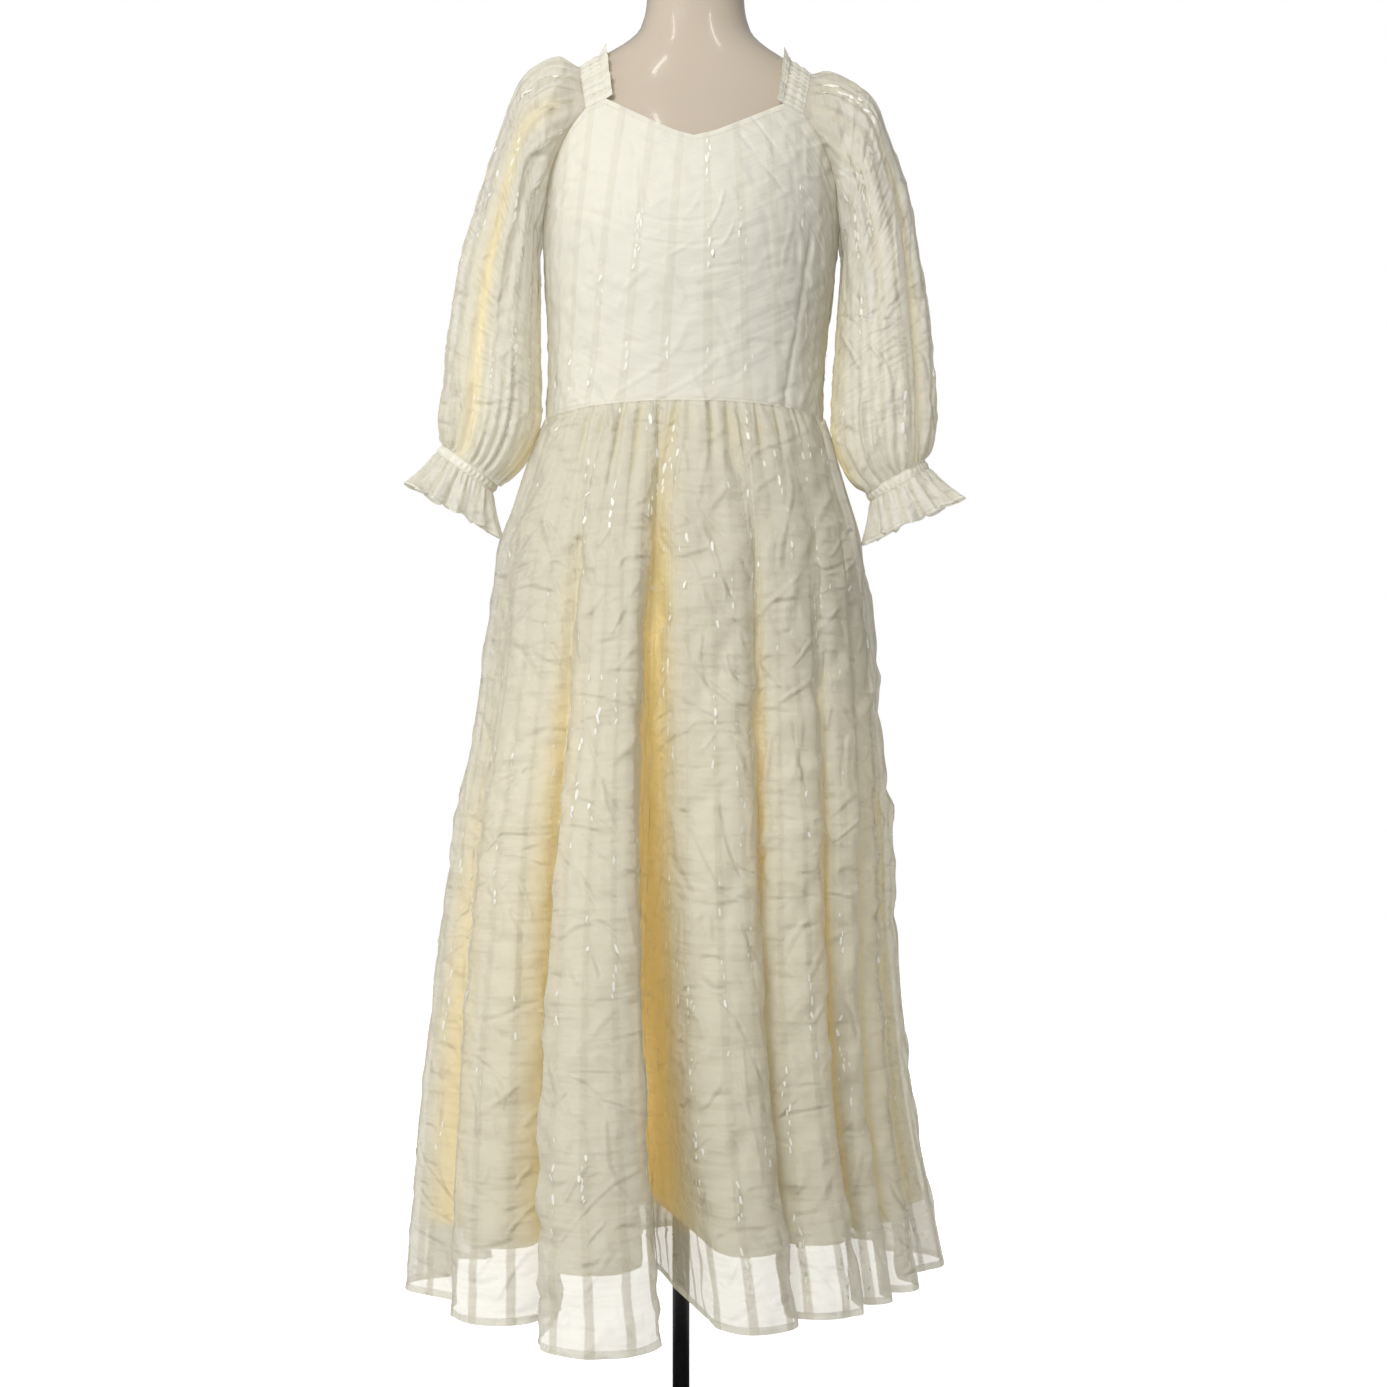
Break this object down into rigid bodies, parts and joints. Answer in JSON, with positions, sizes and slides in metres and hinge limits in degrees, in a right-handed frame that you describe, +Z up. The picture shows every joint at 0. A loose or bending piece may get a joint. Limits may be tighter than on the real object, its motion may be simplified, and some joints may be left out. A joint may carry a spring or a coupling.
{
  "type": "sequin dress on a limbless dress form",
  "caption": "Long cream organza dress with puffed sleeves, ruffled cuffs, a fitted bodice and a gathered lined skirt, worn by a glossy dress form on a pole with a round base.",
  "frame": {"origin": "centre of the round base's underside", "axes": "+Z up along the pole, -Y towards the dress's front, +X towards the viewer's right in the picture"},
  "size_m": [0.59, 0.588, 1.6013],
  "materials": {
    "organza": "sheer crinkled cream organza with woven stripes",
    "lining": "plain satin-faced lining, warm cream",
    "form_plastic": "glossy pinkish beige",
    "stand_metal": "satin black",
    "zip_tape": "cream tape and coil",
    "zip_metal": "cream enamel"
  },
  "bodies": {
    "dress_and_form": {"bodice_front": "organza", "bodice_back_left": "organza", "bodice_back_right": "organza", "shoulder_band_left": "organza", "shoulder_band_right": "organza", "sleeve_left": "organza", "sleeve_right": "organza", "cuff_band_left": "organza", "cuff_band_right": "organza", "cuff_ruffle_left": "organza", "cuff_ruffle_right": "organza", "skirt_front": "organza", "skirt_back_left": "organza", "skirt_back_right": "organza", "lining_front": "lining", "lining_back": "lining", "zip_chain": "zip_tape", "zip_slider": "zip_metal", "form_torso": "form_plastic", "stand_pole": "stand_metal", "stand_base": "stand_metal"},
    "pull_tab": {"zip_pull": "zip_metal"}
  },
  "joints": [
    {"name": "zip_pull_hinge", "type": "hinge", "parent": "dress_and_form", "child": "pull_tab", "pos_m": [0.01371, 0.12032, 1.39525], "axis": [1, 0, 0], "range_deg": [0, 150]}
  ]
}
